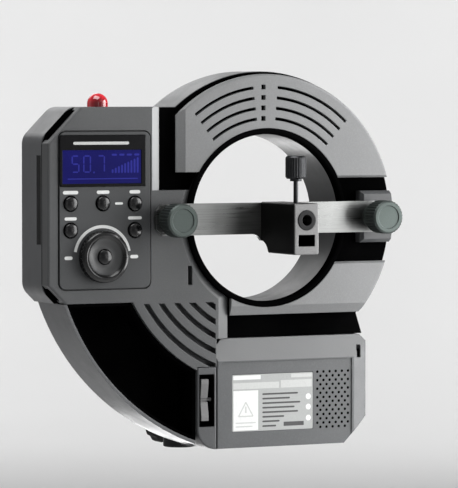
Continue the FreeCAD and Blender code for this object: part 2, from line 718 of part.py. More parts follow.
def electronics():
    """Circuit boards, capacitors and the trigger transformer in the operating side."""
    keep(box("control_board", -174, -101, 6.2, 7.8, -50, 66), "control_board")
    keep(rod("encoder_can", "Y", "7", "8", "6.5", x="dial_x", z="dial_z"), "dial_encoder")
    keep(box("main_board", -169, -116, "16.5", "18.1", -54, 62), "main_board")
    for side, x in (("left", "-159"), ("right", "-133")):
        can = rod(f"capacitor_{side}_can", "Z", "12", "-50", "92", x=x, y="33")
        keep(soften(can, 1.2, lambda e: e.BoundBox.ZLength < 1e-3), f"capacitor_{side}")
    keep(box("transformer_block", -168, -146, "21", "43", 47, 68), "trigger_transformer")


def grip():
    """Matte black lining of the hand grip recess."""
    ring = cut("grip_ring", rod("grip_outer", "Y", "arc_radius - wall - joint_gap", "3", "29.5"),
               rod("grip_core", "Y", "grip_inner + joint_gap", "0", "40"))
    block = common("grip_block", ring, box("grip_span", -BIG, "latch_left - joint_gap",
                                           "3", "32.5", -BIG, "grip_top"))
    room_ring = cut("grip_room_ring",
                    rod("grip_room_outer", "Y", "arc_radius - wall - 2.6", "-1", "grip_floor + 1"),
                    rod("grip_room_core", "Y", "grip_inner + 2.6", "-2", "40"))
    room = common("grip_room", room_ring, box("grip_room_span", -BIG, "latch_left - 2.6",
                                              -2, "grip_floor", -BIG, "grip_top - 2.3"))
    keep(cut("grip_cut", block, room), "grip_tray")


def battery():
    """Slide-out battery with its cells, plus the latch block and what it carries."""
    shell = prism("pack_case", [
        ("pack_left", "pack_low"), ("pack_left", "pack_top - 6"), ("pack_left + 6", "pack_top"),
        ("pack_right - 5", "pack_top"), ("pack_right", "pack_top - 5"),
        ("pack_right", "pack_low + pack_chamfer"), ("pack_right - pack_chamfer", "pack_low"),
    ], "0", "pack_depth")
    shell = soften(shell, 1.6, in_plane("Y", 0.0))
    room = prism("pack_room", [
        ("pack_left + wall", "pack_low + wall"), ("pack_left + wall", "pack_top - wall - 4"),
        ("pack_left + wall + 4", "pack_top - wall"), ("pack_right - wall - 4", "pack_top - wall"),
        ("pack_right - wall", "pack_top - wall - 4"),
        ("pack_right - wall", "pack_low + pack_chamfer + 1"),
        ("pack_right - pack_chamfer - 1", "pack_low + wall"),
    ], "6.5", "pack_depth - wall")
    inset = prism("pack_inset", [
        ("-42", "pack_low - 1"), ("-42", "pack_top - 23", ("-40.54", "pack_top - 19.46")),
        ("-37", "pack_top - 18"), ("74", "pack_top - 18"), ("74", "pack_low - 1"),
    ], "-1", "0.9")
    keep(cut("pack_cut", shell, room, inset,
             bevel_tool("pack_top_bevel", "YZ_Plane", "pack_top", "-17", "5", "-50", "95"),
             bevel_tool("pack_right_bevel", "XY_Plane", "pack_right", "-12", "3.5", "-180", "-90"),
             box("pack_label_seat", -30.2, 40.2, "0.5", "1.5", -163.8, -119.6),
             box("pack_terminal_room", "pack_left - 1", "pack_left + wall + 1", 9, 20, -148, -116),
             box("pack_catch_slot", 78.8, 82.6, -1, "5", -110, -100)),
         "battery_case")
    keep(rounded_plate("pack_label", "-29.9", "39.9", "-163.5", "-119.9", "0.8", "1.4", 1.0),
         "battery_label")
    keep(box("pack_catch", 79.1, 82.3, "3.4", "4.9", -109.7, -103.2), "battery_catch")
    cells()
    latch_block()


def cells():
    """Five round cells side by side, joined by the strips welded across their ends."""
    body = new_body("battery_cells")
    ends = sketch_on(body, "cell_ends", "XY_Plane", "-168.5")
    circle(ends, "-29", "16.4", "9.1")
    first = pad(body, ends, "65")
    row = body.newObject("PartDesign::LinearPattern", "cell_row")
    row.Originals = [first]
    row.Direction = (ends, ["H_Axis"])
    row.Length = 80
    row.Occurrences = 5
    body.Tip = row
    strip = sketch_on(body, "cell_strip", "XY_Plane", "-103.6")
    outline(strip, [("-34", "12.4"), ("56", "12.4"), ("56", "20.4"), ("-34", "20.4")])
    pad(body, strip, "0.6")
    low_strip = sketch_on(body, "cell_low_strip", "XY_Plane", "-169")
    outline(low_strip, [("-34", "12.4"), ("56", "12.4"), ("56", "20.4"), ("-34", "20.4")])
    pad(body, low_strip, "0.6")
    keep(body, "battery_cells")


def latch_block():
    """Block at the battery's left, its power rocker and the terminals facing the battery."""
    block = prism("latch_body", [
        ("latch_left", "pack_low + 17", ("latch_left + 4.6", "pack_low + 4.9")),
        ("pack_left - joint_gap", "pack_low"),
        ("pack_left - joint_gap", "latch_top"), ("latch_left", "latch_top"),
    ], "0", "pack_depth")
    block = soften(block, 1.2, in_plane("Y", 0.0))
    seat = box("rocker_seat", -58.4, -45.6, -1, "9.5", -158.5, -118.5)
    pin_room = rod("rocker_pin_room", "X", "1.25 + fit", "-59.2", "14.8", y="5", z="-138")
    terminal_seat = box("terminal_seat", "pack_left - 4", "pack_left", 10, 19, -146, -118)
    keep(cut("latch_cut", block, seat, pin_room, terminal_seat), "latch_block")
    keep(cut("rocker_frame_cut", box("rocker_frame_block", -58.2, -45.8, "-0.3", "9.3", -158.3, -118.7),
             box("rocker_frame_room", -57.6, -46.4, -1, "8.9", -157.7, -119.3),
             rod("rocker_frame_pin", "X", "1.25 + fit", "-60", "16", y="5", z="-138")),
         "rocker_frame")
    rocker = new_body("power_rocker")
    side = sketch_on(rocker, "rocker_side", "YZ_Plane", "-57.2")
    outline(side, [
        ("-1.2", "-15.8"), ("-1.2", "-12.5"), ("0.6", "-1.6"), ("2.6", "-1.1"), ("2.6", "1.1"),
        ("0.6", "1.6"), ("-1.2", "12.5"), ("-1.2", "15.8"),
        ("1.2", "16"), ("6.5", "6"), ("6.5", "-6"), ("1.2", "-16"),
    ])
    pad(rocker, side, "6")
    pin = sketch_on(rocker, "rocker_pin", "YZ_Plane", "-59")
    circle(pin, "5", "0", "1.25")
    pad(rocker, pin, "14.2")
    keep(put(rocker, "0", "0", "-138"), "power_rocker")
    base = box("terminal_base", "pack_left - 3.9", "pack_left - 0.4", 10.2, 18.8, -145.8, -118.2)
    blades = [box(f"terminal_blade_{n}", "pack_left - 1", "pack_left + 2", 11.5, 17.5, z, z + 2)
              for n, z in enumerate((-143, -133, -123))]
    keep(fuse("terminal_set", base, *blades), "battery_terminals")


# ---------------------------------------------------------------------------- umbrella bracket
def bracket():
    """Bar across the opening, the two knobs that hold it, and the umbrella shaft holder."""
    bar = new_body("bracket_bar")
    face = sketch_on(bar, "bar_outline", "XZ_Plane", "-(bar_rear + bar_thick)")
    outline(face, [
        ("-bar_reach + 5", "-bar_half"),
        ("-holder_half - 8.5", "-bar_half", ("-holder_half - 2.6", "-bar_half - 1.8")),
        ("-holder_half", "-bar_half - 5"),
        ("holder_half", "-bar_half - 5", ("holder_half + 2.6", "-bar_half - 1.8")),
        ("holder_half + 8.5", "-bar_half"),
        ("bar_reach - 5", "-bar_half"), ("bar_reach", "-bar_half + 5"),
        ("bar_reach", "bar_half - 5"), ("bar_reach - 5", "bar_half"),
        ("-bar_reach + 5", "bar_half"), ("-bar_reach", "bar_half - 5"),
        ("-bar_reach", "-bar_half + 5"),
    ])
    pad(bar, face, "bar_thick")
    bosses = sketch_on(bar, "bar_bosses", "XZ_Plane", "0.1")
    for x in ("-knob_x", "knob_x"):
        circle(bosses, x, "0", "9")
    pad(bar, bosses, "-bar_rear - bar_thick - 0.1").Reversed = False
    holes = sketch_on(bar, "bar_holes", "XZ_Plane", "-bar_rear")
    for x in ("-knob_x", "knob_x"):
        circle(holes, x, "0", "2.5 + fit")
    circle(holes, "0", "0", "shaft_radius")
    pocket(bar, holes, "12")
    keep(bar, "bracket_bar")
    for side, x, reach in (("left", "-knob_x", "7.5"), ("right", "knob_x", "7.5")):
        hand_knob(f"bracket_knob_{side}", reach, x)
    holder()


def hand_knob(name, reach, x):
    """Knurled knob with a thin shoulder and a stud."""
    body = new_body(name)
    rear = "bar_rear - knob_rise"
    profile = sketch_on(body, f"{name}_profile", "XY_Plane")
    outline(profile, [
        ("0", f"{rear} + 0.7"), ("8.6", f"{rear} + 0.7"), ("9", rear),
        ("knob_radius - 1.4", rear), ("knob_radius", f"{rear} + 1.4"),
        ("knob_radius", f"{rear} + 15"), ("knob_radius - 1", f"{rear} + 16"),
        ("7", f"{rear} + 16"), ("7", "bar_rear - 2.2"), ("9.5", "bar_rear - 2.2"),
        ("9.5", "bar_rear - 0.1"), ("2.5", "bar_rear - 0.1"), ("2.5", reach), ("0", reach),
    ])
    revolve(body, profile)
    groove = sketch_on(body, f"{name}_groove", "XZ_Plane", "-bar_rear + knob_rise")
    circle(groove, "knob_radius + 0.3", "0", "0.75")
    doc.recompute()
    milled = pocket(body, groove, "16.5")
    pattern_round(body, milled, groove, 32, "N_Axis")
    keep(put(body, x, "0", "0"), name)


def holder():
    """Umbrella shaft holder with its bushing and thumb screw."""
    body = box("holder_block", "-holder_half", "holder_half", "holder_rear", "bar_rear - 0.05",
               "holder_low", "holder_top")
    body = soften(body, 1.5, lambda e: e.BoundBox.YLength > 10)
    body = soften(body, 0.8, in_plane("Y", SIZES["holder_rear"]))
    heel = new_body("holder_heel")
    side = sketch_on(heel, "heel_outline", "YZ_Plane", "-holder_half - 1")
    outline(side, [
        ("bar_rear + 1", "-bar_half - 5"),
        ("bar_rear - 2", "-bar_half - 5", ("bar_rear - 8.4", "-bar_half - 8")),
        ("bar_rear - 12", "holder_low - 0.5"), ("bar_rear - 12", "holder_low - 2"),
        ("bar_rear + 1", "holder_low - 2"),
    ])
    pad(heel, side, "2 * holder_half + 2")
    window = box("holder_window", -7, 7, "holder_rear - 1", "bar_rear - 16",
                 "holder_low + 6.3", "holder_low + 15")
    keep(cut("holder_cut", body, window, heel,
             rod("shaft_bore", "Y", "shaft_radius", "holder_rear - 1", "70"),
             rod("bushing_seat", "Y", "7.6", "holder_rear - 1", "8"),
             rod("screw_bore", "Z", "1.8 + fit", "0", "30", y="clamp_y")), "shaft_holder")
    keep(turned("bushing", [
        ("shaft_radius", "holder_rear - 0.6"), ("7.2", "holder_rear - 0.6"),
        ("7.5", "holder_rear - 0.2"), ("7.5", "holder_rear + 6.9"),
        ("shaft_radius", "holder_rear + 6.9"),
    ]), "shaft_bushing")
    screw = new_body("clamp_screw")
    profile = sketch_on(screw, "clamp_profile", "XZ_Plane")
    outline(profile, [
        ("0", "4.6"), ("1.8", "4.6"), ("1.8", "29"), ("4.4", "29"), ("4.4", "30.8"),
        ("6.8", "30.8"), ("7.9", "32.2"), ("7.9", "46.6"), ("6.6", "48.2"), ("0", "48.2"),
    ])
    revolve(screw, profile)
    groove = sketch_on(screw, "clamp_groove", "XY_Plane", "48.2")
    circle(groove, "8.15", "0", "0.6")
    doc.recompute()
    milled = pocket(screw, groove, "18")
    pattern_round(screw, milled, groove, 24, "N_Axis")
    keep(put(screw, "0", "clamp_y", "0"), "clamp_screw")


# ---------------------------------------------------------------------------- stand mount
def stand_mount():
    """Socket for the stand's spigot, its tongue, the head's ears, hinge bolt and lever."""
    cup = rod("socket_cup", "Z", "socket_radius", "0", "socket_top")
    cup = soften(cup, 1.2, lambda e: e.BoundBox.ZLength < 1e-3)
    tongue = fuse("tongue", rod("tongue_hub", "X", "ear_radius", "-tongue_half",
                                "2 * tongue_half", z="hinge_z"),
                  box("tongue_neck", "-tongue_half", "tongue_half", "-ear_radius", "ear_radius",
                      "socket_top - 2", "hinge_z"))
    boss = rod("lock_boss", "Y", "7.5", "9", "9.5", z="13")
    socket = cut("socket_cut", fuse("socket_whole", cup, tongue, boss),
                 rod("spigot_bore", "Z", "spigot_radius", "-1", "bore_depth + 1"),
                 rod("lock_bore", "Y", "3 + fit", "6", "16", z="13"),
                 rod("hinge_bore", "X", "bolt_radius + fit", "-20", "40", z="hinge_z"))
    keep(socket, "stand_socket", head=False)
    knob = new_body("stand_lock_knob")
    profile = sketch_on(knob, "lock_profile", "XY_Plane")
    outline(profile, [
        ("0", "8.6"), ("3", "8.6"), ("3", "20"), ("8", "20"), ("8", "22.5"), ("12", "24.5"),
        ("12.5", "26"), ("12.5", "35"), ("11.5", "36.5"), ("0", "36.5"),
    ])
    revolve(knob, profile)
    scallop = sketch_on(knob, "lock_scallop", "XZ_Plane", "-37")
    circle(scallop, "15", "0", "4")
    doc.recompute()
    cut_out = pocket(knob, scallop, "14", reverse=True)
    pattern_round(knob, cut_out, scallop, 8, "N_Axis")
    keep(put(knob, "0", "0", "13"), "stand_lock_knob", head=False)
    plate = box("mount_plate_slab", "-head_x - 24", "-head_x + 24", "body_depth + 0.1",
                "body_depth + 5", "hinge_z - head_z - 22", "hinge_z - head_z + 17")
    plate = soften(plate, 5, lambda e: e.BoundBox.YLength > 3 and e.BoundBox.ZLength < 1e-3)
    ears = []
    for side, x in (("left", "-head_x - tongue_half - ear_thick - 0.2"),
                    ("right", "-head_x + tongue_half + 0.2")):
        hub = rod(f"ear_{side}_hub", "X", "ear_radius", x, "ear_thick",
                  y="-head_y", z="hinge_z - head_z")
        web = box(f"ear_{side}_web", x, f"{x} + ear_thick", "body_depth + 4", "-head_y",
                  "hinge_z - head_z - ear_radius", "hinge_z - head_z + ear_radius")
        ears += [hub, web]
    bolt_hole = rod("ear_bore", "X", "bolt_radius + fit", "-head_x - 30", "60",
                    y="-head_y", z="hinge_z - head_z")
    spots = [(a, b) for a in (-18, 18) for b in (-16, 11)]
    holes = [rod(f"plate_hole_{n}", "Y", "2.3", "body_depth - 1", "8", x=f"-head_x + {a}",
                 z=f"hinge_z - head_z + {b}") for n, (a, b) in enumerate(spots)]
    keep(cut("mount_cut", fuse("mount_whole", plate, *ears), bolt_hole, *holes), "tilt_bracket")
    for n, (a, b) in enumerate(spots, 1):
        screw = turned(f"mount_screw_{n}", [
            ("0", "body_depth + 0.2"), ("2.2", "body_depth + 0.2"), ("2.2", "body_depth + 5.1"),
            ("3.8", "body_depth + 5.1"), ("3.8", "body_depth + 7.4"),
            ("3.2", "body_depth + 8"), ("1.6", "body_depth + 8"), ("1.6", "body_depth + 6.6"),
            ("0", "body_depth + 6.6"),
        ])
        keep(put(screw, f"-head_x + {a}", "0", f"hinge_z - head_z + {b}"), f"mount_screw_{n}")
    bolt = fuse("bolt_parts",
                rod("bolt_shank", "X", "bolt_radius", "-head_x - 17", "33.5",
                    y="-head_y", z="hinge_z - head_z"),
                rod("bolt_head", "X", "7", "-head_x - 18.5", "5",
                    y="-head_y", z="hinge_z - head_z"))
    keep(bolt, "hinge_bolt")
    lever()


def lever():
    """Locking lever on the hinge bolt's right end."""
    body = new_body("tilt_lever")
    arm = sketch_on(body, "lever_side", "YZ_Plane", "18.2")
    outline(arm, [
        ("-6", "-5", ("-7.8", "0")), ("-6", "5"), ("6", "6.5"), ("34", "4.5"),
        ("40", "3.2", ("42.6", "0")), ("40", "-3.2"), ("34", "-4.5"), ("6", "-6.5"),
    ])
    made = pad(body, arm, "6.8")
    doc.recompute()
    round_edges(body, made, "1.6", in_plane("X", 25.0))
    hub = sketch_on(body, "lever_hub", "YZ_Plane", "13.5")
    circle(hub, "0", "0", "6.9")
    pad(body, hub, "4.9")
    bore = sketch_on(body, "lever_bore", "YZ_Plane", "13.2")
    circle(bore, "0", "0", "bolt_radius + fit")
    pocket(body, bore, "3.6", reverse=True)
    keep(put(body, "-head_x", "-head_y", "hinge_z - head_z"), "tilt_lever")


front_shell()
rear_cover()
operating_panel()
ring_covers()
ring_deck()
barrel()
optics()
dome_and_ports()
electronics()
grip()
battery()
bracket()
stand_mount()

doc.recompute()
for obj in doc.Objects:
    if any(word in obj.State for word in ("Invalid", "Error")):
        raise RuntimeError(f"{obj.Name} did not build: {obj.State}")
os.makedirs("parts", exist_ok=True)
for obj in pieces:
    if obj.Shape.isNull() or not obj.Shape.isValid() or obj.Shape.Volume < 0.01:
        raise RuntimeError(f"{obj.Label} has no sound shape")
    obj.Shape.exportStep(f"parts/{obj.Label}.step")
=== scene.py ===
"""Looks of the ring monolight strobe: materials, printed marks, display, light and camera.

Lengths in the head's own frame are in millimetres about the ring's axis, as in the CAD part;
at() turns them into the row frame in metres.
"""

import math

import bmesh
import bpy
from mathutils import Matrix, Vector


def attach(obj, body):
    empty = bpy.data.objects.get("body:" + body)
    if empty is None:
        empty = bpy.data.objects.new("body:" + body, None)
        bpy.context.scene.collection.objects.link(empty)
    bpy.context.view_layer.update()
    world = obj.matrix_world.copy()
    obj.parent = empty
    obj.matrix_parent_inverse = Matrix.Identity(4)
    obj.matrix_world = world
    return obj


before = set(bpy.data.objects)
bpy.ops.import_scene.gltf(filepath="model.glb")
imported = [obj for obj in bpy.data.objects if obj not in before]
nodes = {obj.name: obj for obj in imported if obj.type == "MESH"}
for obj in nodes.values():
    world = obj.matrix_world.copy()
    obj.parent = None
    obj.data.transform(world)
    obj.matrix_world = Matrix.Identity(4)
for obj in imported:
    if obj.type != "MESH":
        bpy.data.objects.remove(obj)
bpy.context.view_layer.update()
HEAD = Vector((0.040, -0.072, 0.180))
MM = 0.001
# planes that carry print, and the thickness of the ink
PANEL_FACE = -1.0
BEZEL_FACE = -1.5
LABEL_FACE = 0.79
PACK_FACE = 0.9
INK = 0.06
LIFT = 0.005
# where the operator's camera stands
VIEW_TURN = -27.0
VIEW_RISE = 2.4
VIEW_DISTANCE = 2.8


def at(x, y, z):
    """A point of the head's own frame, in the row frame."""
    return HEAD + Vector((x, y, z)) * MM


# ---------------------------------------------------------------------------- materials
class Tree:
    """Small helper round a material's node tree."""

    def __init__(self, name):
        self.material = bpy.data.materials.new(name)
        self.material.use_nodes = True
        self.tree = self.material.node_tree
        self.shader = self.tree.nodes["Principled BSDF"]
        coordinates = self.add("ShaderNodeTexCoord")
        self.place = coordinates.outputs["Object"]
        self.way = coordinates.outputs["Normal"]

    def add(self, kind, **values):
        """A new node with the given properties."""
        node = self.tree.nodes.new(kind)
        for key, value in values.items():
            setattr(node, key, value)
        return node

    def link(self, source, target):
        self.tree.links.new(source, target)

    def noise(self, scale, detail=3.0, rough=0.55, place=None):
        """Noise from 0 to 1 over the piece."""
        node = self.add("ShaderNodeTexNoise")
        node.inputs["Scale"].default_value = scale
        node.inputs["Detail"].default_value = detail
        node.inputs["Roughness"].default_value = rough
        self.link(place or self.place, node.inputs["Vector"])
        return node.outputs["Fac"]

    def stretched(self, x, y, z):
        """Coordinates scaled along each axis, for a grain with a direction."""
        node = self.add("ShaderNodeMapping")
        node.inputs["Scale"].default_value = (x, y, z)
        self.link(self.place, node.inputs["Vector"])
        return node.outputs["Vector"]

    def ramp(self, factor, low, high, start=0.0, end=1.0):
        """Maps start..end onto low..high."""
        node = self.add("ShaderNodeMapRange")
        node.inputs["From Min"].default_value = start
        node.inputs["From Max"].default_value = end
        node.inputs["To Min"].default_value = low
        node.inputs["To Max"].default_value = high
        self.link(factor, node.inputs["Value"])
        return node.outputs["Result"]

    def mix(self, factor, a, b):
        """A blend of two colours."""
        node = self.add("ShaderNodeMix", data_type="RGBA")
        for value, socket in ((factor, node.inputs[0]), (a, node.inputs[6]), (b, node.inputs[7])):
            if isinstance(value, bpy.types.NodeSocket):
                self.link(value, socket)
            elif isinstance(value, (int, float)):
                socket.default_value = value
            else:
                socket.default_value = (*value, 1.0)
        return node.outputs[2]

    def math(self, operation, a, b=0.0, clamp=False):
        """One sum on values or sockets."""
        node = self.add("ShaderNodeMath", operation=operation, use_clamp=clamp)
        for value, socket in ((a, node.inputs[0]), (b, node.inputs[1])):
            if isinstance(value, bpy.types.NodeSocket):
                self.link(value, socket)
            else:
                socket.default_value = value
        return node.outputs[0]

    def edges(self, radius):
        """1 near sharp edges, 0 elsewhere, and the softened normal."""
        bevel = self.add("ShaderNodeBevel", samples=6)
        bevel.inputs["Radius"].default_value = radius
        geometry = self.add("ShaderNodeNewGeometry")
        dot = self.add("ShaderNodeVectorMath", operation="DOT_PRODUCT")
        self.link(bevel.outputs["Normal"], dot.inputs[0])
        self.link(geometry.outputs["Normal"], dot.inputs[1])
        return self.ramp(dot.outputs["Value"], 1.0, 0.0, 0.72, 0.98), bevel.outputs["Normal"]

    def bump(self, height, strength, distance, normal=None):
        """A normal roughened by a height, on top of another normal."""
        node = self.add("ShaderNodeBump")
        node.inputs["Strength"].default_value = strength
        node.inputs["Distance"].default_value = distance
        self.link(height, node.inputs["Height"])
        if normal is not None:
            self.link(normal, node.inputs["Normal"])
        return node.outputs["Normal"]


def plastic(name, color, rough, grain=0.25, grain_size=1500, wear=0.35, edge=0.0004, spread=0.10,
            shine=0.5, bevel=None):
    """Moulded plastic: fine spark grain, slow tone drift, handled edges; bevel gives the axis, the
    least slope and the painted highlight colour of bevels on the operator's side that face that axis."""
    t = Tree(name)
    drift = t.noise(14.0, 4.0)
    speck = t.noise(grain_size, 2.0, 0.6)
    scuff = t.noise(60.0, 6.0, 0.7)
    edge_mask, soft = t.edges(edge)
    dark = tuple(c * (1 - spread) for c in color)
    light = tuple(min(1.0, c * (1 + spread) + 0.002) for c in color)
    base = t.mix(t.ramp(drift, 0.0, 1.0, 0.3, 0.7), dark, light)
    base = t.mix(t.ramp(speck, 0.0, 0.35, 0.45, 0.75), base, tuple(c * 1.5 for c in color))
    worn = t.math("MULTIPLY", edge_mask, t.ramp(scuff, 0.15, 1.0, 0.42, 0.62), clamp=True)
    worn = t.math("MULTIPLY", worn, wear)
    base = t.mix(worn, base, tuple(min(1.0, c * 2.2 + 0.02) for c in color))
    # painted highlight: where the normal faces the given axis past the slope on the operator's side,
    # the colour becomes a lighter tone that stands for light falling on that bevel
    if bevel:
        axis, slope, tone = bevel
        way = t.add("ShaderNodeSeparateXYZ")
        t.link(t.way, way.inputs[0])
        facing = t.math("MULTIPLY", t.ramp(way.outputs[axis], 0.0, 1.0, slope - 0.05, slope),
                        t.ramp(way.outputs["Y"], 1.0, 0.0, -0.7, -0.6))
        base = t.mix(facing, base, tone)
    t.link(base, t.shader.inputs["Base Color"])
    level = t.math("ADD", t.ramp(scuff, -0.06, 0.06, 0.3, 0.7), rough)
    t.link(t.math("SUBTRACT", level, t.math("MULTIPLY", worn, 0.2)), t.shader.inputs["Roughness"])
    t.link(t.bump(speck, grain, 0.00012, soft), t.shader.inputs["Normal"])
    t.shader.inputs["Specular IOR Level"].default_value = shine
    return t.material


def metal(name, color, rough, brushed=None, edge=0.00035, wear=0.5, relief=0.25):
    """Metal with a brushed grain along one axis, or an even satin blast."""
    t = Tree(name)
    if brushed:
        grain = t.noise(1.0, 5.0, 0.65, t.stretched(*brushed))
    else:
        grain = t.noise(2200.0, 2.0)
    drift = t.noise(35.0, 4.0)
    edge_mask, soft = t.edges(edge)
    base = t.mix(t.ramp(grain, 0.0, 1.0, 0.3, 0.7), tuple(c * 0.82 for c in color),
                 tuple(min(1.0, c * 1.16) for c in color))
    worn = t.math("MULTIPLY", edge_mask, t.math("MULTIPLY", t.ramp(drift, 0.3, 1.0, 0.4, 0.65), wear))
    base = t.mix(worn, base, tuple(min(1.0, c * 1.8 + 0.12) for c in color))
    t.link(base, t.shader.inputs["Base Color"])
    t.link(t.math("ADD", t.ramp(grain, -0.08, 0.08, 0.3, 0.7),
                  t.ramp(drift, rough - 0.05, rough + 0.07, 0.3, 0.7)),
           t.shader.inputs["Roughness"])
    t.shader.inputs["Metallic"].default_value = 1.0
    t.link(t.bump(grain, relief, 0.00006, soft), t.shader.inputs["Normal"])
    return t.material


def holder_metal():
    """Black anodised block with a bright-cut end face round its shaft hole."""
    t = Tree("holder_metal")
    grain = t.noise(1.0, 5.0, 0.65, t.stretched(900, 60, 900))
    drift = t.noise(35.0, 4.0)
    edge_mask, soft = t.edges(0.0006)
    split = t.add("ShaderNodeSeparateXYZ")
    t.link(t.place, split.inputs[0])
    end = at(0, -62.6, 0).y
    cut_face = t.ramp(split.outputs["Y"], 1.0, 0.0, end - 0.0003, end)
    base = t.mix(t.ramp(grain, 0.0, 1.0, 0.3, 0.7), (0.0010, 0.0010, 0.0011), (0.0024, 0.0024, 0.0026))
    base = t.mix(t.math("MULTIPLY", edge_mask, t.ramp(drift, 0.2, 0.7, 0.4, 0.65)), base,
                 (0.20, 0.20, 0.20))
    bright = t.mix(t.ramp(grain, 0.0, 1.0, 0.3, 0.7), (0.14, 0.14, 0.14), (0.20, 0.20, 0.20))
    t.link(t.mix(cut_face, base, bright), t.shader.inputs["Base Color"])
    t.link(t.ramp(drift, 0.34, 0.48, 0.3, 0.7), t.shader.inputs["Roughness"])
    t.shader.inputs["Metallic"].default_value = 1.0
    t.link(t.bump(grain, 0.2, 0.00005, soft), t.shader.inputs["Normal"])
    return t.material


def gloss(name, color, rough=0.12, edge=0.0003, coat=0.6, shine=0.5):
    """Polished plastic with faint handling smears."""
    t = Tree(name)
    smear = t.noise(1.0, 5.0, 0.65, t.stretched(90, 90, 35))
    speck = t.noise(420.0, 3.0)
    _, soft = t.edges(edge)
    t.link(t.mix(t.ramp(smear, 0.0, 1.0, 0.35, 0.7), color, tuple(c * 1.5 + 0.003 for c in color)),
           t.shader.inputs["Base Color"])
    t.link(t.ramp(smear, rough, rough + 0.14, 0.38, 0.72), t.shader.inputs["Roughness"])
    t.link(t.bump(speck, 0.04, 0.00008, soft), t.shader.inputs["Normal"])
    t.shader.inputs["Coat Weight"].default_value = coat
    t.shader.inputs["Coat Roughness"].default_value = 0.06
    t.shader.inputs["Specular IOR Level"].default_value = shine
    return t.material


def dial_black():
    """Moulded black rim; inside it a satin spun dish, painted a lighter grey than the rim as a painted
    highlight of the light on its slope.
    """
    t = Tree("dial_black")
    centre = t.add("ShaderNodeVectorMath", operation="SUBTRACT")
    t.link(t.place, centre.inputs[0])
    centre.inputs[1].default_value = at(-140, 0, -27)
    flat = t.add("ShaderNodeVectorMath", operation="MULTIPLY")
    t.link(centre.outputs["Vector"], flat.inputs[0])
    flat.inputs[1].default_value = (1.0, 0.0, 1.0)
    reach = t.add("ShaderNodeVectorMath", operation="LENGTH")
    t.link(flat.outputs["Vector"], reach.inputs[0])
    radius = reach.outputs["Value"]
    # painted highlight: the dish inside the rim gets a lighter grey, standing for the light on its
    # slope
    dish = t.ramp(radius, 1.0, 0.0, 0.0128, 0.0142)
    turned = t.noise(1.0, 4.0, 0.6, flat.outputs["Vector"])
    rings = t.math("SINE", t.math("MULTIPLY", radius, 9000.0))
    smear = t.noise(90.0, 4.0)
    _, soft = t.edges(0.0004)
    t.link(t.mix(dish, (0.004, 0.0042, 0.0045), t.mix(turned, (0.030, 0.031, 0.032),
                                                      (0.048, 0.049, 0.050))),
           t.shader.inputs["Base Color"])
    t.link(t.math("ADD", t.ramp(dish, 0.22, 0.42), t.ramp(smear, -0.05, 0.08, 0.35, 0.7)),
           t.shader.inputs["Roughness"])
    t.link(t.bump(t.math("MULTIPLY", rings, dish), 0.08, 0.00004, soft),
           t.shader.inputs["Normal"])
    t.shader.inputs["Specular IOR Level"].default_value = 0.5
    return t.material


def dome_red():
    """Clear red moulding, darker where it is thick over the sensor."""
    t = Tree("dome_red")
    facing = t.add("ShaderNodeLayerWeight")
    facing.inputs["Blend"].default_value = 0.45
    swirl = t.noise(160.0, 3.0)
    base = t.mix(t.ramp(facing.outputs["Facing"], 0.0, 1.0, 0.02, 0.45), (0.10, 0.0, 0.004),
                 (0.68, 0.010, 0.025))
    base = t.mix(t.ramp(swirl, 0.0, 0.15), base, (0.9, 0.05, 0.06))
    t.link(base, t.shader.inputs["Base Color"])
    t.link(t.ramp(swirl, 0.05, 0.13), t.shader.inputs["Roughness"])
    t.link(t.bump(swirl, 0.03, 0.0001), t.shader.inputs["Normal"])
    t.shader.inputs["Coat Weight"].default_value = 1.0
    t.shader.inputs["Coat Roughness"].default_value = 0.03
    return t.material


def print_ink(name, color, rough=0.5):
    """Screen-printed ink with pinholes."""
    t = Tree(name)
    speck = t.noise(1300.0, 3.0, 0.7)
    t.link(t.mix(t.ramp(speck, 0.0, 0.4, 0.5, 0.75), color, tuple(c * 0.6 for c in color)),
           t.shader.inputs["Base Color"])
    t.link(t.ramp(speck, rough - 0.05, rough + 0.1), t.shader.inputs["Roughness"])
    t.link(t.bump(speck, 0.15, 0.00005), t.shader.inputs["Normal"])
    return t.material


def lit(name, color, glow, strength):
    """Display surface: backlight with a faint pixel grid."""
    t = Tree(name)
    checker = t.add("ShaderNodeTexChecker")
    checker.inputs["Scale"].default_value = 1600.0
    t.link(t.place, checker.inputs["Vector"])
    cloud = t.noise(22.0, 2.0)
    t.link(t.mix(t.ramp(checker.outputs["Fac"], 0.0, 0.25), color, tuple(c * 0.5 for c in color)),
           t.shader.inputs["Base Color"])
    t.link(t.mix(t.ramp(cloud, 0.1, 0.9, 0.3, 0.7), tuple(c * 0.55 for c in glow), glow),
           t.shader.inputs["Emission Color"])
    t.shader.inputs["Emission Strength"].default_value = strength
    t.link(t.ramp(cloud, 0.2, 0.35), t.shader.inputs["Roughness"])
    t.shader.inputs["Specular IOR Level"].default_value = 0.12
    return t.material


def clear(name, color, rough=0.04, weight=0.92):
    """Clear glass with faint smears."""
    t = Tree(name)
    smear = t.noise(1.0, 4.0, 0.6, t.stretched(60, 60, 24))
    t.link(t.mix(t.ramp(smear, 0.0, 0.4), color, tuple(c * 0.85 for c in color)),
           t.shader.inputs["Base Color"])
    t.link(t.ramp(smear, rough, rough + 0.1, 0.4, 0.75), t.shader.inputs["Roughness"])
    t.link(t.bump(smear, 0.02, 0.0001), t.shader.inputs["Normal"])
    t.shader.inputs["Transmission Weight"].default_value = weight
    t.shader.inputs["IOR"].default_value = 1.47
    return t.material


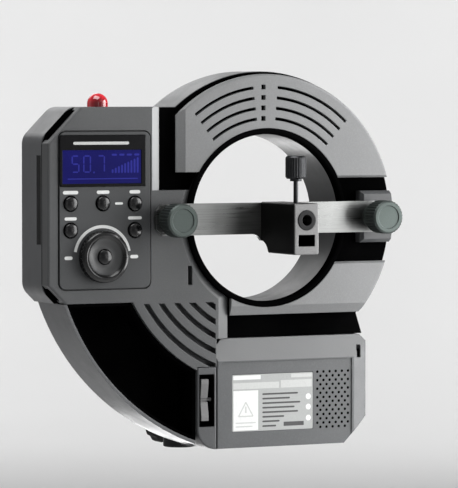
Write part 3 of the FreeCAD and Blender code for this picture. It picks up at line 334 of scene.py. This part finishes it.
def opal():
    """Frosted diffuser with a fine grain."""
    t = Tree("opal_diffuser")
    speck = t.noise(700.0, 3.0)
    drift = t.noise(9.0, 3.0)
    t.link(t.mix(t.ramp(drift, 0.0, 1.0, 0.3, 0.7), (0.80, 0.81, 0.80), (0.9, 0.9, 0.88)),
           t.shader.inputs["Base Color"])
    t.link(t.ramp(speck, 0.38, 0.55), t.shader.inputs["Roughness"])
    t.link(t.bump(speck, 0.35, 0.0002), t.shader.inputs["Normal"])
    t.shader.inputs["Transmission Weight"].default_value = 0.25
    t.shader.inputs["Subsurface Weight"].default_value = 0.3
    t.shader.inputs["Subsurface Radius"].default_value = (0.004, 0.004, 0.004)
    return t.material


M = {
    "shell": plastic("shell_grey", (0.078, 0.080, 0.084), 0.36, 0.28, 1300, 0.4, 0.0005, shine=0.6),
    # ring's bore: half the shell's grey, painted shade inside the bore
    "barrel": plastic("barrel_painted_shade_grey", (0.036, 0.037, 0.039), 0.34, 0.28, 1300, 0.4, 0.0005, shine=0.4),
    "latch": plastic("latch_grey", (0.062, 0.064, 0.067), 0.42, 0.28, 1300, 0.4, 0.0005, shine=0.4),
    # rear cover: its right-facing bevels get a painted highlight colour, standing for the right-hand
    # light on them
    "field": plastic("field_grey", (0.070, 0.072, 0.074), 0.42, 0.28, 1300, 0.4, 0.0006, shine=0.4,
                     bevel=("X", 0.52, (0.34, 0.345, 0.35))),
    # bracket pad: darker than the covers' grey, painted shadow of the shaft and knob across it
    "pad": plastic("pad_painted_shadow_grey", (0.052, 0.054, 0.056), 0.42, 0.28, 1300, 0.6, 0.0008, shine=0.4),
    # ring covers: twice the shell's grey, a painted sheen of the right-hand light on their faces
    "cover": plastic("cover_grey", (0.158, 0.161, 0.163), 0.40, 0.25, 1300, 0.4, 0.0006),
    "panel": plastic("panel_grey", (0.050, 0.052, 0.054), 0.48, 0.4, 1000, 0.3, 0.0004, shine=0.35),
    # battery case: its upward-facing top strip gets a painted highlight colour, standing for the top
    # light on it
    "battery": plastic("battery_case_grey", (0.072, 0.075, 0.078), 0.42, 0.45, 950, 0.35, 0.0005,
                       0.08, bevel=("Z", 0.24, (0.125, 0.128, 0.130))),
    # near-black recess parts, liners and dots: their own black plastic, darkened further as painted
    # shade of the deep recesses
    "black": plastic("black_and_painted_shade", (0.0008, 0.0008, 0.0009), 0.8, 0.35, 900, 0.1, 0.0004,
                     shine=0.0),
    "satin_black": plastic("satin_black", (0.006, 0.006, 0.007), 0.42, 0.2, 1500, 0.4, 0.0005,
                           shine=0.25),
    "key": gloss("key_black", (0.002, 0.002, 0.0025), 0.16, 0.0005, 0.1),
    "dial": dial_black(),
    "bezel": gloss("display_bezel", (0.001, 0.001, 0.0015), 0.14, 0.0003, 0.03, 0.12),
    "knob": metal("knob_metal", (0.078, 0.092, 0.087), 0.50, wear=1.0),
    "holder": holder_metal(),
    "bar": metal("bar_brushed", (0.20, 0.204, 0.20), 0.32, (30, 900, 900), relief=0.1),
    # clamp screw: its black metal lightened to a dark grey as a painted highlight
    "screw": metal("screw_dark_painted_highlight", (0.045, 0.046, 0.048), 0.36, wear=0.6),
    "steel": metal("screw_steel", (0.55, 0.55, 0.56), 0.28),
    "mirror": metal("reflector_bright", (0.86, 0.86, 0.87), 0.14, (500, 60, 500)),
    "trim": metal("bezel_satin", (0.24, 0.245, 0.25), 0.3),
    "brass": metal("terminal_brass", (0.80, 0.58, 0.22), 0.25),
    "rubber": plastic("rubber_black", (0.010, 0.010, 0.010), 0.7, 0.5, 700, 0.25, 0.0005, shine=0.2),
    # power rocker: mid grey as a painted highlight of the light on its two halves
    "rocker": plastic("rocker_painted_highlight_grey", (0.14, 0.14, 0.14), 0.36, 0.2, 1300, 0.3, 0.0003),
    "dome": dome_red(),
    "white": print_ink("ink_white", (0.74, 0.75, 0.74)),
    "ink_pale": print_ink("ink_pale", (0.52, 0.53, 0.52)),
    "ink_grey": print_ink("ink_grey", (0.37, 0.38, 0.375)),
    "ink_dark": print_ink("ink_dark", (0.05, 0.05, 0.052)),
    "screen": lit("screen_blue", (0.001, 0.001, 0.02), (0.005, 0.005, 0.135), 0.9),
    "digit": lit("digit_blue", (0.01, 0.01, 0.1), (0.022, 0.026, 0.26), 0.9),
    "board": gloss("solder_mask", (0.01, 0.10, 0.035), 0.25),
    "board_black": gloss("solder_mask_black", (0.0010, 0.0011, 0.0010), 0.5, coat=0.0, shine=0.1),
    "sleeve": gloss("sleeve_blue", (0.02, 0.035, 0.12), 0.2),
    "wrap": gloss("cell_wrap", (0.04, 0.16, 0.30), 0.2),
    "tube": clear("tube_glass", (0.93, 0.93, 0.90)),
    "opal": opal(),
}
WEARS = {
    "shell": ["front_shell"],
    "barrel": ["barrel"],
    "latch": ["latch_block"],
    "field": ["rear_cover"],
    "cover": ["ring_cover_upper", "ring_cover_lower"],
    "pad": ["bracket_pad_right"],
    "rocker": ["power_rocker"],
    "panel": ["panel_plate"],
    "battery": ["battery_case"],
    "black": ["ring_deck", "grip_tray", "side_port_block", "dial_encoder", "seam_gasket",
              "rocker_frame", "trigger_transformer", "battery_catch", "rear_lip"],
    "satin_black": ["shaft_bushing", "stand_socket", "tilt_lever"],
    "key": ["button_mode", "button_left", "button_right", "button_slave", "button_lamp",
            "set_button"],
    "dial": ["dial"],
    "bezel": ["display_bezel"],
    "screen": ["display_module"],
    "knob": ["bracket_knob_left", "bracket_knob_right", "tilt_bracket"],
    "screw": ["clamp_screw"],
    "holder": ["shaft_holder"],
    "bar": ["bracket_bar"],
    "steel": ["mount_screw_1", "mount_screw_2", "mount_screw_3", "mount_screw_4", "hinge_bolt",
              "trigger_wire", "tube_electrode_left", "tube_electrode_right"],
    "mirror": ["reflector"],
    "trim": ["front_bezel"],
    "brass": ["battery_terminals"],
    "rubber": ["side_port_flap", "stand_lock_knob"],
    "dome": ["sensor_dome"],
    "ink_grey": ["battery_label"],
    "board": ["main_board"],
    "board_black": ["control_board"],
    "sleeve": ["capacitor_left", "capacitor_right"],
    "wrap": ["battery_cells"],
    "tube": ["flash_tube"],
    "opal": ["diffuser"],
}
for key, names in WEARS.items():
    for name in names:
        piece = nodes[name]
        piece.data.materials.clear()
        piece.data.materials.append(M[key])


# ---------------------------------------------------------------------------- small pieces
def finish_mesh(name, mesh, material, body, smooth=False):
    """Turns a bmesh into a piece that rides on a body."""
    data = bpy.data.meshes.new(name)
    mesh.to_mesh(data)
    mesh.free()
    piece = bpy.data.objects.new(name, data)
    bpy.context.collection.objects.link(piece)
    data.materials.append(material)
    for polygon in data.polygons:
        polygon.use_smooth = smooth
    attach(piece, body)


def close_sides(mesh, near, far):
    """Joins two outlines of the same number of corners by their side faces."""
    for i in range(len(near)):
        j = (i + 1) % len(near)
        mesh.faces.new((near[j], near[i], far[i], far[j]))


def flat_shape(mesh, corners, rear, front):
    """Adds a flat prism whose (x, z) outline runs from rear to front in y."""
    near = [mesh.verts.new(at(x, rear, z)) for x, z in corners]
    far = [mesh.verts.new(at(x, front, z)) for x, z in corners]
    mesh.faces.new(near)
    mesh.faces.new(list(reversed(far)))
    close_sides(mesh, near, far)


def plate(mesh, left, right, low, high, rear, front):
    """Adds a flat rectangle."""
    flat_shape(mesh, [(right, high), (left, high), (left, low), (right, low)], rear, front)


def pill(x, z, width, height, steps=6):
    """Outline of a bar with rounded ends."""
    r = min(width, height) / 2
    dx, dz = width / 2 - r, height / 2 - r
    points = []
    for cx, cz, start in ((dx, dz, 0), (-dx, dz, 90), (-dx, -dz, 180), (dx, -dz, 270)):
        for step in range(steps + 1):
            angle = math.radians(start + 90 * step / steps)
            points.append((x + cx + r * math.cos(angle), z + cz + r * math.sin(angle)))
    return points


def ring_arc(mesh, x, z, inner, outer, start, end, rear, front, steps=48):
    """Adds a flat arc band about (x, z)."""
    corners = []
    for radius, order in ((outer, range(steps + 1)), (inner, range(steps, -1, -1))):
        for step in order:
            angle = math.radians(start + (end - start) * step / steps)
            corners.append((x + radius * math.cos(angle), z + radius * math.sin(angle)))
    near = [mesh.verts.new(at(px, rear, pz)) for px, pz in corners]
    far = [mesh.verts.new(at(px, front, pz)) for px, pz in corners]
    last = len(corners) - 1
    for i in range(steps):
        back = last - i
        mesh.faces.new((near[i], near[i + 1], near[back - 1], near[back]))
        mesh.faces.new((far[back], far[back - 1], far[i + 1], far[i]))
    close_sides(mesh, near, far)


def dimple(mesh, x, z, radius, surface, height, rings=4, count=16):
    """Adds a small domed rubber dot standing on the surface plane."""
    rows = []
    for ring in range(rings):
        turn = math.radians(90 * ring / rings)
        r, y = radius * math.cos(turn), surface - height * math.sin(turn)
        rows.append([mesh.verts.new(at(x + r * math.cos(math.tau * k / count), y,
                                       z + r * math.sin(math.tau * k / count)))
                     for k in range(count)])
    top = mesh.verts.new(at(x, surface - height, z))
    for low, high in zip(rows, rows[1:]):
        for k in range(count):
            j = (k + 1) % count
            mesh.faces.new((low[k], low[j], high[j], high[k]))
    for k in range(count):
        mesh.faces.new((rows[-1][k], rows[-1][(k + 1) % count], top))


def panel_print():
    """Bars over the keys, the arc over the dial, the marks at its ends and the name bar."""
    mesh = bmesh.new()
    front = PANEL_FACE - LIFT
    bars = [(-166, 21.3, 12.5, 2.6), (-139.3, 21.3, 10.5, 2.6), (-113, 21.3, 9, 2.6),
            (-126.2, 12.7, 6.5, 1.7), (-166, 1.7, 10, 2.4), (-113, 1.7, 11.5, 2.4),
            (-167.8, -27.6, 6.6, 2.6), (-113.6, -27.4, 6.6, 2.6)]
    for bar in bars:
        flat_shape(mesh, pill(*bar), front - INK, front)
    ring_arc(mesh, -140, -27, 21.4, 23.7, 10, 170, front - INK, front)
    finish_mesh("panel_print", mesh, M["white"], "head")
    mesh = bmesh.new()
    front = BEZEL_FACE - LIFT
    flat_shape(mesh, pill(-141.0, 58.0, 46.0, 2.2), front - INK, front)
    finish_mesh("name_bar", mesh, M["ink_pale"], "head")


SEGMENTS = {"0": "abcdef", "5": "afgcd", "7": "abc"}


def digit(mesh, text, x, z, width, height, rear, front):
    """Adds one seven-segment figure."""
    t, h = width * 0.2, height / 2
    side = h - t * 0.4
    bars = {
        "a": (x, z + h, width - t, t), "g": (x, z, width - t, t), "d": (x, z - h, width - t, t),
        "b": (x + width / 2, z + h / 2, t, side), "c": (x + width / 2, z - h / 2, t, side),
        "f": (x - width / 2, z + h / 2, t, side), "e": (x - width / 2, z - h / 2, t, side),
    }
    for name in SEGMENTS[text]:
        flat_shape(mesh, pill(*bars[name], steps=2), rear, front)


def screen_figures():
    """Faint figures and level bars on the display."""
    mesh = bmesh.new()
    front = PANEL_FACE - 0.11
    rear = front - INK
    for text, x in (("5", -162.0), ("0", -152.5), ("7", -141.0)):
        digit(mesh, text, x, 42.5, 5.4, 12.0, rear, front)
    flat_shape(mesh, pill(-146.8, 36.2, 1.5, 1.5), rear, front)
    for i in range(9):
        flat_shape(mesh, pill(-131.5 + i * 2.6, 37.0 + i * 0.55, 1.6, 3.0 + i * 1.1, 2), rear, front)
    for i in range(4):
        flat_shape(mesh, pill(-130 + i * 6.2, 49.3, 4.4, 1.5, 2), rear, front)
    flat_shape(mesh, pill(-139.5, 31.4, 58, 0.8, 2), rear, front)
    finish_mesh("screen_figures", mesh, M["digit"], "head")


def battery_label_print():
    """Printed layers of the battery's label: white, pale and dark, then the warning symbol."""
    front = LABEL_FACE
    rear = front - INK
    mesh = bmesh.new()
    plate(mesh, -29.0, -5.5, -123.8, -120.6, rear, front)
    plate(mesh, -29.0, -7.6, -162.7, -132.2, rear, front)
    for z in (-138.5, -146.5, -155.0):
        flat_shape(mesh, pill(36.0, z, 4.4, 4.6, 3), rear, front)
    finish_mesh("label_white", mesh, M["white"], "battery")
    mesh = bmesh.new()
    plate(mesh, -29.0, 10.5, -131.0, -126.2, rear, front)
    plate(mesh, 12.0, 39.0, -131.0, -125.2, rear, front)
    plate(mesh, 21.0, 39.0, -123.4, -120.6, rear, front)
    finish_mesh("label_pale", mesh, M["ink_pale"], "battery")
    mesh = bmesh.new()
    line_start = -4
    for z, end in ((-135.4, 27), (-138.9, 20), (-142.4, 29), (-145.9, 24), (-149.4, 27),
                   (-152.9, 15), (-156.4, 11), (-160.0, 8)):
        line = pill((line_start + end) / 2, z, end - line_start, 1.3, 2)
        flat_shape(mesh, line, rear, front)
    plate(mesh, 14.5, 32.0, -160.6, -157.4, rear, front)
    finish_mesh("label_lines", mesh, M["ink_dark"], "battery")
    mesh = bmesh.new()
    front = rear - LIFT
    rear = front - 0.04
    corners = [(-18.3 + 7.2 * math.sin(a), -148.3 + 7.2 * math.cos(a))
               for a in (0, math.tau / 3, 2 * math.tau / 3)]
    for (x0, z0), (x1, z1) in zip(corners, corners[1:] + corners[:1]):
        across = Vector((z1 - z0, x0 - x1)).normalized() * 0.45
        flat_shape(mesh, [(x0 + across.x, z0 + across.y), (x0 - across.x, z0 - across.y),
                          (x1 - across.x, z1 - across.y), (x1 + across.x, z1 + across.y)],
                   rear, front)
    plate(mesh, -18.9, -17.7, -149.4, -144.4, rear, front)
    plate(mesh, -27.0, -9.8, -157.4, -156.5, rear, front)
    plate(mesh, -27.0, -12.6, -160.2, -159.3, rear, front)
    finish_mesh("label_symbol", mesh, M["ink_pale"], "battery")


def battery_grip_dots():
    """Staggered rubber dots that follow the battery's cut corner."""
    mesh = bmesh.new()
    for row in range(14):
        for column in range(7):
            x = 44.0 + column * 5.4 + (row % 2) * 2.7
            z = -119.8 - row * 3.3
            past_corner = x > 72.6 or x - z > 231
            if not past_corner:
                dimple(mesh, x, z, 1.05, PACK_FACE, 0.35)
    finish_mesh("battery_grip_dots", mesh, M["black"], "battery", smooth=True)


panel_print()
screen_figures()
battery_label_print()
battery_grip_dots()


# ---------------------------------------------------------------------------- stage and light
def backdrop():
    """Pale sweep: a floor that curves up into a wall far behind."""
    mesh = bmesh.new()
    floor, back, radius = -0.42, 6.4, 2.0
    section = [(-9.0, floor), (back - radius, floor)]
    section += [(back - radius + radius * math.sin(a), floor + radius - radius * math.cos(a))
                for a in (math.radians(6 * k) for k in range(1, 16))]
    section.append((back, 6.0))
    rows = [[mesh.verts.new((x, y, z)) for x in (-11.0, 11.0)] for y, z in section]
    for a, b in zip(rows, rows[1:]):
        mesh.faces.new((a[0], a[1], b[1], b[0]))
    data = bpy.data.meshes.new("sweep")
    mesh.to_mesh(data)
    mesh.free()
    for polygon in data.polygons:
        polygon.use_smooth = True
    sweep = bpy.data.objects.new("sweep", data)
    bpy.context.collection.objects.link(sweep)
    sweep.rotation_euler = (0, 0, math.radians(VIEW_TURN))
    t = Tree("sweep_paper")
    cloud = t.noise(0.8, 3.0)
    t.link(t.mix(t.ramp(cloud, 0.0, 1.0, 0.3, 0.7), (0.80, 0.80, 0.80), (0.84, 0.84, 0.84)),
           t.shader.inputs["Base Color"])
    t.shader.inputs["Roughness"].default_value = 0.85
    data.materials.append(t.material)


def area_light(name, width, height, power, place, aim):
    """A rectangular light at a place, turned towards an aim."""
    light = bpy.data.lights.new(name, "AREA")
    light.shape = "RECTANGLE"
    light.size, light.size_y = width, height
    light.energy = power
    lamp = bpy.data.objects.new(name, light)
    bpy.context.collection.objects.link(lamp)
    lamp.location = place
    lamp.rotation_euler = (place - aim).to_track_quat("Z", "Y").to_euler()


def direction(azimuth, elevation):
    """The way from the head to a point round it; azimuth 0 is the operator's side."""
    a, e = math.radians(azimuth), math.radians(elevation)
    return Vector((math.sin(a) * math.cos(e), -math.cos(a) * math.cos(e), math.sin(e)))


def softbox(name, azimuth, elevation, distance, width, height, power, aim=None):
    """An area light aimed at the head or at a spot on it."""
    target = aim or CENTRE
    place = target + direction(azimuth, elevation) * distance
    area_light(name, width, height, power, place, target)


def wall_light(name, side, height, power):
    """An area light behind the head that shines on the backdrop only."""
    turned = Matrix.Rotation(math.radians(VIEW_TURN), 3, "Z")
    place = turned @ Vector((side, 4.1, height))
    aim = turned @ Vector((side * 0.25, 6.6, 0.35))
    area_light(name, 1.6, 1.6, power, place, aim)


CENTRE = at(-28, 10, -20)
backdrop()
softbox("key_right", 68, 8, 0.80, 0.40, 0.9, 9.2)
softbox("key_strip", 36, 6, 0.62, 0.22, 0.7, 2.8, aim=at(70, 0, -10))
softbox("mirror_strip", 25, 2, 1.9, 0.45, 0.8, 1.2)
softbox("fill_camera", -17, 6, 1.9, 0.35, 1.4, 0.9)
softbox("fill_high", 24, 33, 1.9, 1.0, 0.7, 1.2)
softbox("edge_left", -112, 4, 1.5, 0.7, 1.4, 0.8)
softbox("rear_low", 162, -24, 1.05, 0.22, 0.2, 0.8)
softbox("rear_top", 180, 32, 2.2, 1.6, 0.8, 6.5)
softbox("top", -60, 70, 1.4, 1.2, 0.9, 17)
wall_light("wall_left", -1.9, 1.3, 40)
wall_light("wall_right", 1.9, 1.3, 40)
world = bpy.data.worlds.new("studio")
world.use_nodes = True
world.node_tree.nodes["Background"].inputs["Color"].default_value = (1.0, 1.0, 1.0, 1.0)
world.node_tree.nodes["Background"].inputs["Strength"].default_value = 0.20
bpy.context.scene.world = world

camera_data = bpy.data.cameras.new("camera")
camera_data.sensor_width = 36.0
camera_data.lens = 270.0
camera = bpy.data.objects.new("camera", camera_data)
bpy.context.collection.objects.link(camera)
toward = direction(VIEW_TURN, VIEW_RISE)
camera.location = CENTRE + toward * VIEW_DISTANCE
camera.rotation_euler = toward.to_track_quat("Z", "Y").to_euler()
bpy.context.scene.camera = camera
bpy.context.scene.view_settings.view_transform = "Standard"
